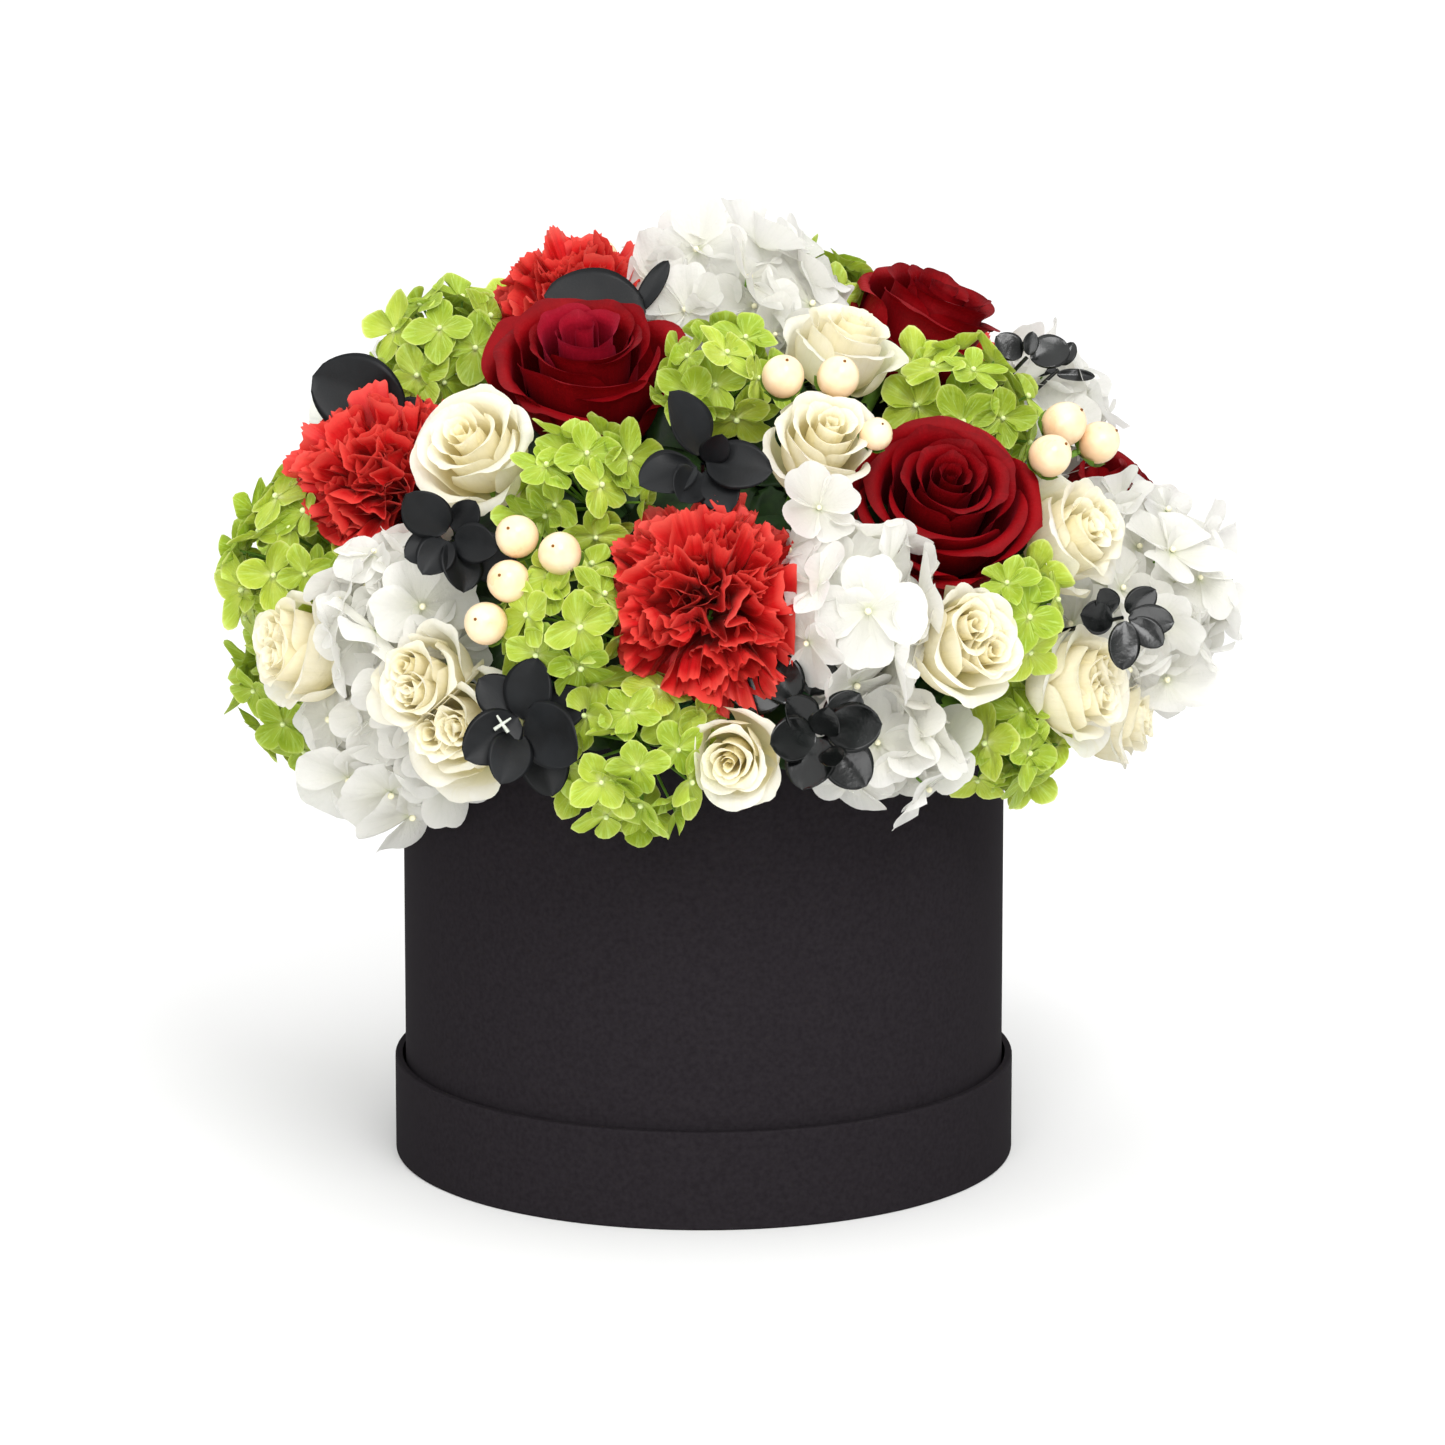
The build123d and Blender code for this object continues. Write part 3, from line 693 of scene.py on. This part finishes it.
def hydrangeaHead(sheaf, head, look):
    radius, wide = head["radius"], look["floretMm"] / 2
    if radius < 0.6 * look["floretMm"]:  # a lone floret on its own stalk
        front = head["centre"] + head["axis"] * radius * 0.4
        floret(sheaf, head, front, unit(head["axis"] + (0, -0.5, 0)), radius * 1.05, look)
        sheaf.add(tube(head["centre"] - head["axis"] * radius, front, 0.7), 2, closed=True)
        return
    foot = head["centre"] - head["axis"] * radius * 0.42
    shell = radius - look["depthMm"]
    area = 2 * math.pi * shell ** 2 * (1 - math.cos(math.radians(look["capTo"])))
    count = int(round(area / (look["packing"] * (2 * wide) ** 2)))
    for out in spotsOver(head, count, look["capTo"], rng.uniform(0, 6)):
        out = unit(out + rng.normal(0, 0.06, 3))
        centre = head["centre"] + out * shell * (1 + rng.uniform(-0.09, 0.0))
        behindWall = centre[2] < rimZ and np.linalg.norm(centre[:2]) < wallRadius + 0.45 * wide
        if overlap(head, centre) > 0.3 * wide or behindWall:
            continue
        lean = unit(out + rng.normal(0, look["lean"], 3))
        floret(sheaf, head, centre, lean, wide * rng.uniform(0.85, 1.1), look)
        sheaf.add(tube(foot, centre, 0.55, 5, 0.8, head["axis"] * 1.5, 4), 2, closed=True)
    for layer, share in enumerate(look["deeper"], 1):  # deeper layers shut the gaps
        for out in spotsOver(head, int(count * share), look["capTo"], 2.0 * layer):
            centre = head["centre"] + out * (shell - 0.42 * wide * layer)
            if overlap(head, centre) < 0.2 * wide:
                floret(sheaf, head, centre, unit(out + rng.normal(0, 0.3, 3)), wide * 0.92, look)


for name in sorted(heads):
    kind = heads[name][0]["kind"]
    if kind in ("white_hydrangea", "green_hydrangea"):
        white = kind == "white_hydrangea"
        sheaf = Sheaf(name + "_bloom")
        for head in heads[name]:
            hydrangeaHead(sheaf, head, whiteLook if white else limeLook)
        sheaf.finish((whiteSepal, creamBead, greenStem) if white else (limeSepal, limeBead, greenStem),
                     name, kind + "_petals")
print("hydrangeas made")


# Hypericum: round berries with a brown tip and small sepals under them, in head radii
berryLook = {"width": 1.0, "height": 1.06, "tip": 0.085, "sepalWidth": 0.42, "sepalReach": 0.98}
for name in sorted(heads):
    if heads[name][0]["kind"] != "hypericum":
        continue
    sheaf = Sheaf(name + "_berries")
    for head in heads[name]:
        rise = np.radians(np.linspace(-90, 90, 19))[:, None]
        angle = np.linspace(0, 2 * np.pi, 24, endpoint=False)[None, :]
        width = berryLook["width"] * np.cos(rise) * (1 - 0.06 * np.sin(rise))
        width = width * (1 + 0.012 * np.cos(3 * angle))
        egg = np.stack((width * np.cos(angle), width * np.sin(angle),
                        berryLook["height"] * np.sin(rise) + 0 * angle), -1)
        sheaf.add(placed(head, egg, rng.uniform(0, 6), press=False), 0, closed=True)
        tip = bead((0, 0, berryLook["height"] - 0.02), berryLook["tip"], 8, 5, 1.3)
        sheaf.add(placed(head, tip, press=False), 1, closed=True)
        v = np.linspace(0, 1, 6)[:, None]
        sepalRing(sheaf, head, 0.15 + berryLook["sepalReach"] * np.sin(1.25 * v),
                  berryLook["sepalWidth"] * np.sin(np.pi * (0.12 + 0.88 * v)) ** 0.8,
                  0.62 * v ** 1.8 - berryLook["height"], 2, press=False)
    sheaf.finish((berrySkin, berryTip, greenStem), name, "berries")
print("berries made")


# Eucalyptus: black painted leaves on a stiff twig, with sizes as shares of a leaf's length
leafLook = {"width": 0.36, "belly": 1.0, "fullness": 0.55, "fold": 0.14, "droop": 0.12, "wave": 0.02,
            "waves": 1.2, "thick": 0.022}


def leafGrid(look, rows=20, columns=11):
    # a closed leaf one unit long from its stalk at the origin along +X, its face towards +Z
    v = np.linspace(0, 1, rows)[:, None]
    u = np.linspace(-1, 1, columns)[None, :]
    half = look["width"] * np.sin(np.pi * v ** look["belly"]) ** look["fullness"] + 0.02 * (1 - v)
    y = half * u
    z = look["fold"] * np.abs(u) ** 1.3 * half - look["droop"] * v ** 2
    z = z + look["wave"] * np.sin(look["waves"] * v * 2 * np.pi + 1.3 * u) * np.abs(u) ** 1.5
    x = v * (1 - 0.12 * abs(look["droop"]) * v) + 0 * u
    top = np.stack((x, y, z), -1)
    thick = look["thick"] * (1 - 0.65 * np.abs(u) ** 3) + 0.010 * np.exp(-(u / 0.12) ** 2)
    under = top.copy()
    under[..., 2] -= thick * (0.3 + 0.7 * np.sin(np.pi * np.clip(v, 0.02, 0.98)) ** 0.4)
    return np.concatenate((top, under[:, -2:0:-1]), 1)


def setLeaf(sheaf, leaf, start, direction, face, length, material):
    direction = unit(direction)
    side = unit(np.cross(face, direction))
    turnTo = np.column_stack((direction, side, np.cross(direction, side)))
    sheaf.add(clearOfRim(leaf @ turnTo.T * length + start), material, closed=True)


stemHalfWidth = 1.5  # mm


def stemEnd(head):  # how far back along its axis the stem of a head reaches in the model
    vertices = np.array([v.co[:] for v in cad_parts[head["node"]].data.vertices]) / mm
    offset = vertices - head["centre"]
    along = offset @ head["axis"]
    aside = np.linalg.norm(offset - along[:, None] * head["axis"], axis=1)
    return along[aside < stemHalfWidth].min()


# each leaf: turn in the plane that faces out (0 right, 90 up), lean out of that plane, length
# and half width as a share of the length; then where it starts, right, up and out, in mm
sprayLeaves = {
    "eucalyptus_1": [
        [(161, 8, 33, 0.40, 17, -13, 3), (196, 5, 27, 0.36, 14, -21, 1), (30, 10, 14, 0.42, 12, -16, -2)],
        [(172, 8, 34, 0.34, 17, -28, 12), (60, 10, 20, 0.17, 14, -27, 10), (215, 20, 18, 0.42, 10, -28, 9)]],
    "eucalyptus_2": [
        [(112, 30, 23, 0.36, 0, -7, 10), (200, 18, 20, 0.42, -2, -11, 10), (-8, 24, 22, 0.36, 1, -10, 11),
         (248, 40, 16, 0.42, -2, -12, 10), (-60, 35, 18, 0.40, 1, -12, 9), (55, 62, 14, 0.34, 2, -10, 12)]],
    "eucalyptus_3": [
        [(140, 35, 19, 0.40, 0, -1, 9), (205, 22, 14, 0.42, -1, -4, 7), (-15, 30, 16, 0.40, 2, -3, 6),
         (-70, 22, 18, 0.42, 2, -4, 6), (-118, 38, 15, 0.42, 0, -4, 8), (55, 28, 13, 0.40, 2, -1, 4),
         (-35, 0, 20, 0.38, 5, -3, 2)]],
    "eucalyptus_4": [
        [(222, 30, 22, 0.38, 0, 4, 12), (-42, 32, 26, 0.38, 3, 6, 11), (82, 25, 21, 0.40, 2, 3, 8),
         (-98, 48, 20, 0.36, 0, -1, 13), (140, 10, 17, 0.40, 0, 5, 7), (-72, 12, 22, 0.36, 5, 0, 6),
         (28, 12, 18, 0.40, 6, 3, 5)]],
    "eucalyptus_5": [
        [(190, 30, 17, 0.44, -3, 0, 7), (8, 24, 19, 0.42, 0, 1, 7), (-112, 30, 19, 0.42, -2, -1, 7),
         (135, 30, 15, 0.40, -3, 2, 5), (92, 64, 17, 0.30, -1, 0, 12), (-80, 70, 13, 0.34, 1, -4, 13),
         (48, 15, 15, 0.40, 1, 2, 4), (-50, 10, 19, 0.42, 1, -2, 5), (118, 5, 18, 0.40, -9, 10, -1),
         (168, 0, 19, 0.42, -12, 12, -3), (70, 8, 16, 0.42, -4, 12, -2)]],
    "eucalyptus_6": [
        [(172, 30, 14, 0.40, -5, 0, 13), (-98, 12, 16, 0.32, -4, -1, 24), (-8, 25, 15, 0.34, -1, 0, 17),
         (125, 40, 11, 0.38, -5, 2, 13), (-40, 18, 13, 0.36, -1, -1, 20), (40, 30, 12, 0.38, 0, 2, 12)],
        [(140, 10, 11, 0.42, 0, -11, 0), (20, 10, 14, 0.44, 3, -12, 0), (80, 20, 8, 0.32, 2, -11, 2)],
        [(185, 5, 12, 0.16, -2, -15, 0), (-5, 5, 13, 0.16, -2, -17, 0), (60, 10, 9, 0.30, 0, -14, 0)]],
    "eucalyptus_7": [
        [(90 + 72 * k, 20, 24, 0.42, 0, 0, 5) for k in range(5)] for spray in range(3)],
}
glossSprays = ("eucalyptus_5", "eucalyptus_6")  # the others have satin paint
# the pale cross of a fallen bud, in mm
budScar = {"node": "eucalyptus_4", "place": (-4, 2, 17), "turns": (35, 125), "reach": 3.2, "thick": 0.7,
           "bow": 0.8}
for name in sorted(sprayLeaves):
    sheaf = Sheaf(name + "_leaves")
    paint = 1 if name in glossSprays else 0
    for head, leaves in zip(heads[name], sprayLeaves[name]):
        outward = unit(0.3 * head["axis"] + (0, -1, 0.2)) if name != "eucalyptus_7" else head["axis"]
        turnTo = facing(outward)
        back = head["centre"] + head["axis"] * stemEnd(head)
        front = np.array([leaf[4:] for leaf in leaves]).mean(0)
        tip = head["centre"] + turnTo @ front
        sheaf.add(tube(back, tip, 1.1, 8, 0.6, None, 6), paint, closed=True)
        for turn, lean, length, width, right, up, out in leaves:
            turn, lean = math.radians(turn), math.radians(lean)
            local = np.array((math.cos(turn) * math.cos(lean), math.sin(turn) * math.cos(lean),
                              math.sin(lean)))
            varied = {**leafLook, "width": width, "fold": leafLook["fold"] * rng.uniform(0.5, 1.8),
                      "droop": leafLook["droop"] * rng.uniform(0.3, 1.8)}
            face = unit(outward + rng.normal(0, 0.18, 3))
            start = head["centre"] + turnTo @ (right, up, out)
            setLeaf(sheaf, leafGrid(varied), start, turnTo @ local, face, length, paint)
        if name == budScar["node"]:
            spot = head["centre"] + turnTo @ budScar["place"]
            for turn in budScar["turns"]:
                arm = np.array((math.cos(math.radians(turn)), math.sin(math.radians(turn)), 0))
                arm = turnTo @ (arm * budScar["reach"])
                bow = turnTo[:, 2] * budScar["bow"]
                sheaf.add(tube(spot - arm, spot + arm, budScar["thick"], 6, 0.5, bow, 5), 3, closed=True)
    sheaf.finish((blackLeaf, glossLeaf, greenStem, paleScar), name, "black_leaves")
print("eucalyptus made")


# The dark foliage that shuts the gaps between the heads, its dark green a painted shade: each shell has
# its leaves, and how far out and up they reach, in mm
fillerLook = {**leafLook, "width": 0.30, "thick": 0.015, "fold": 0.3, "length": (22, 34), "waist": 20,
              "lowest": 8, "shells": ((230, 114, 78), (150, 96, 62))}
sheaf = Sheaf("filler_foliage")
for leaves, wide, tall in fillerLook["shells"]:
    for i in range(leaves):
        rise = math.radians(-12 + 100 * (i + 0.5) / leaves)
        out = wide * math.cos(rise)
        up = max(rimZ + fillerLook["waist"] + tall * math.sin(rise), rimZ + fillerLook["lowest"])
        centre = np.array((out * math.sin(i * goldenAngle), -out * math.cos(i * goldenAngle), up))
        axis = unit(centre - focus)
        direction = axis * 0.4 + rng.normal(0, 0.6, 3)
        length = rng.uniform(*fillerLook["length"])
        setLeaf(sheaf, leafGrid(fillerLook, 10, 5), centre - axis * 10, direction, axis, length, 0)
sheaf.finish((gapShadeLeaf,), None, "stems")
print("foliage made")


# what the box, its lid, the liner, the foam and the stems are made of
finishes = {"box_wall_paper": coverPaper, "lid_rim_paper": coverPaper, "lid_panel_paper": coverPaper,
            "box_wall": greyBoard, "box_base": greyBoard, "lid_rim": greyBoard, "lid_panel": greyBoard,
            "liner": linerPlastic, "foam": foamCell}
for name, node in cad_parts.items():
    finish = greenStem if name.endswith("_stems") else finishes.get(name)
    if finish:
        node.data.materials.clear()
        node.data.materials.append(finish)


floorMaterial, tree = newMaterial("studio floor, matt white")
surface = addNode(tree, "BsdfPrincipled", {"Base Color": linear("#E4E4E4"), "Roughness": 0.9,
                                           "Specular IOR Level": 0.1})
addNode(tree, "OutputMaterial", {"Surface": surface.outputs[0]})
bpy.ops.mesh.primitive_plane_add(size=40)
floor = bpy.context.object
floor.name = "floor"
floor.data.materials.append(floorMaterial)

world = bpy.data.worlds.new("studio")
bpy.context.scene.world = world
world.use_nodes = True
tree = world.node_tree
tree.nodes.clear()
studio = {"top": "#FFFFFF", "side": "#505050", "strength": 1.75}  # a bright ceiling and dimmer walls
sky = addNode(tree, "SeparateXYZ", {0: addNode(tree, "TexCoord").outputs["Generated"]})
shade = ramp(tree, sky.outputs["Z"], ((0.0, studio["side"]), (0.9, studio["top"])))
glow = addNode(tree, "Background", {"Color": shade, "Strength": studio["strength"]})
addNode(tree, "OutputWorld", {"Surface": glow.outputs[0]})
bpy.context.scene.view_settings.view_transform = "Standard"


def softbox(name, place, size, power, target=(0, 0, 0.19)):
    light = bpy.data.lights.new(name, "AREA")
    light.shape = "DISK"
    light.size = size
    light.energy = power
    lamp = bpy.data.objects.new(name, light)
    lamp.location = place
    back = unit(np.array(place) - target)
    side = unit(np.cross((0, 0, 1), back))
    lamp.rotation_euler = Matrix(np.column_stack((side, np.cross(back, side), back)).tolist()).to_euler()
    bpy.context.scene.collection.objects.link(lamp)


softbox("key light", (0.6, -1.8, 1.8), 1.1, 33)
softbox("fill light", (-0.5, -2.6, 0.9), 1.5, 28)

view = {"place": (0.0063, -2.597, 0.743), "down": 12.96, "lens": 199.5}  # metres, degrees, mm
camera = bpy.data.cameras.new("camera")
camera.lens = view["lens"]
camera.sensor_width = 36
eye = bpy.data.objects.new("camera", camera)
eye.location = view["place"]
eye.rotation_euler = (math.radians(90 - view["down"]), 0, 0)
bpy.context.scene.collection.objects.link(eye)
bpy.context.scene.camera = eye
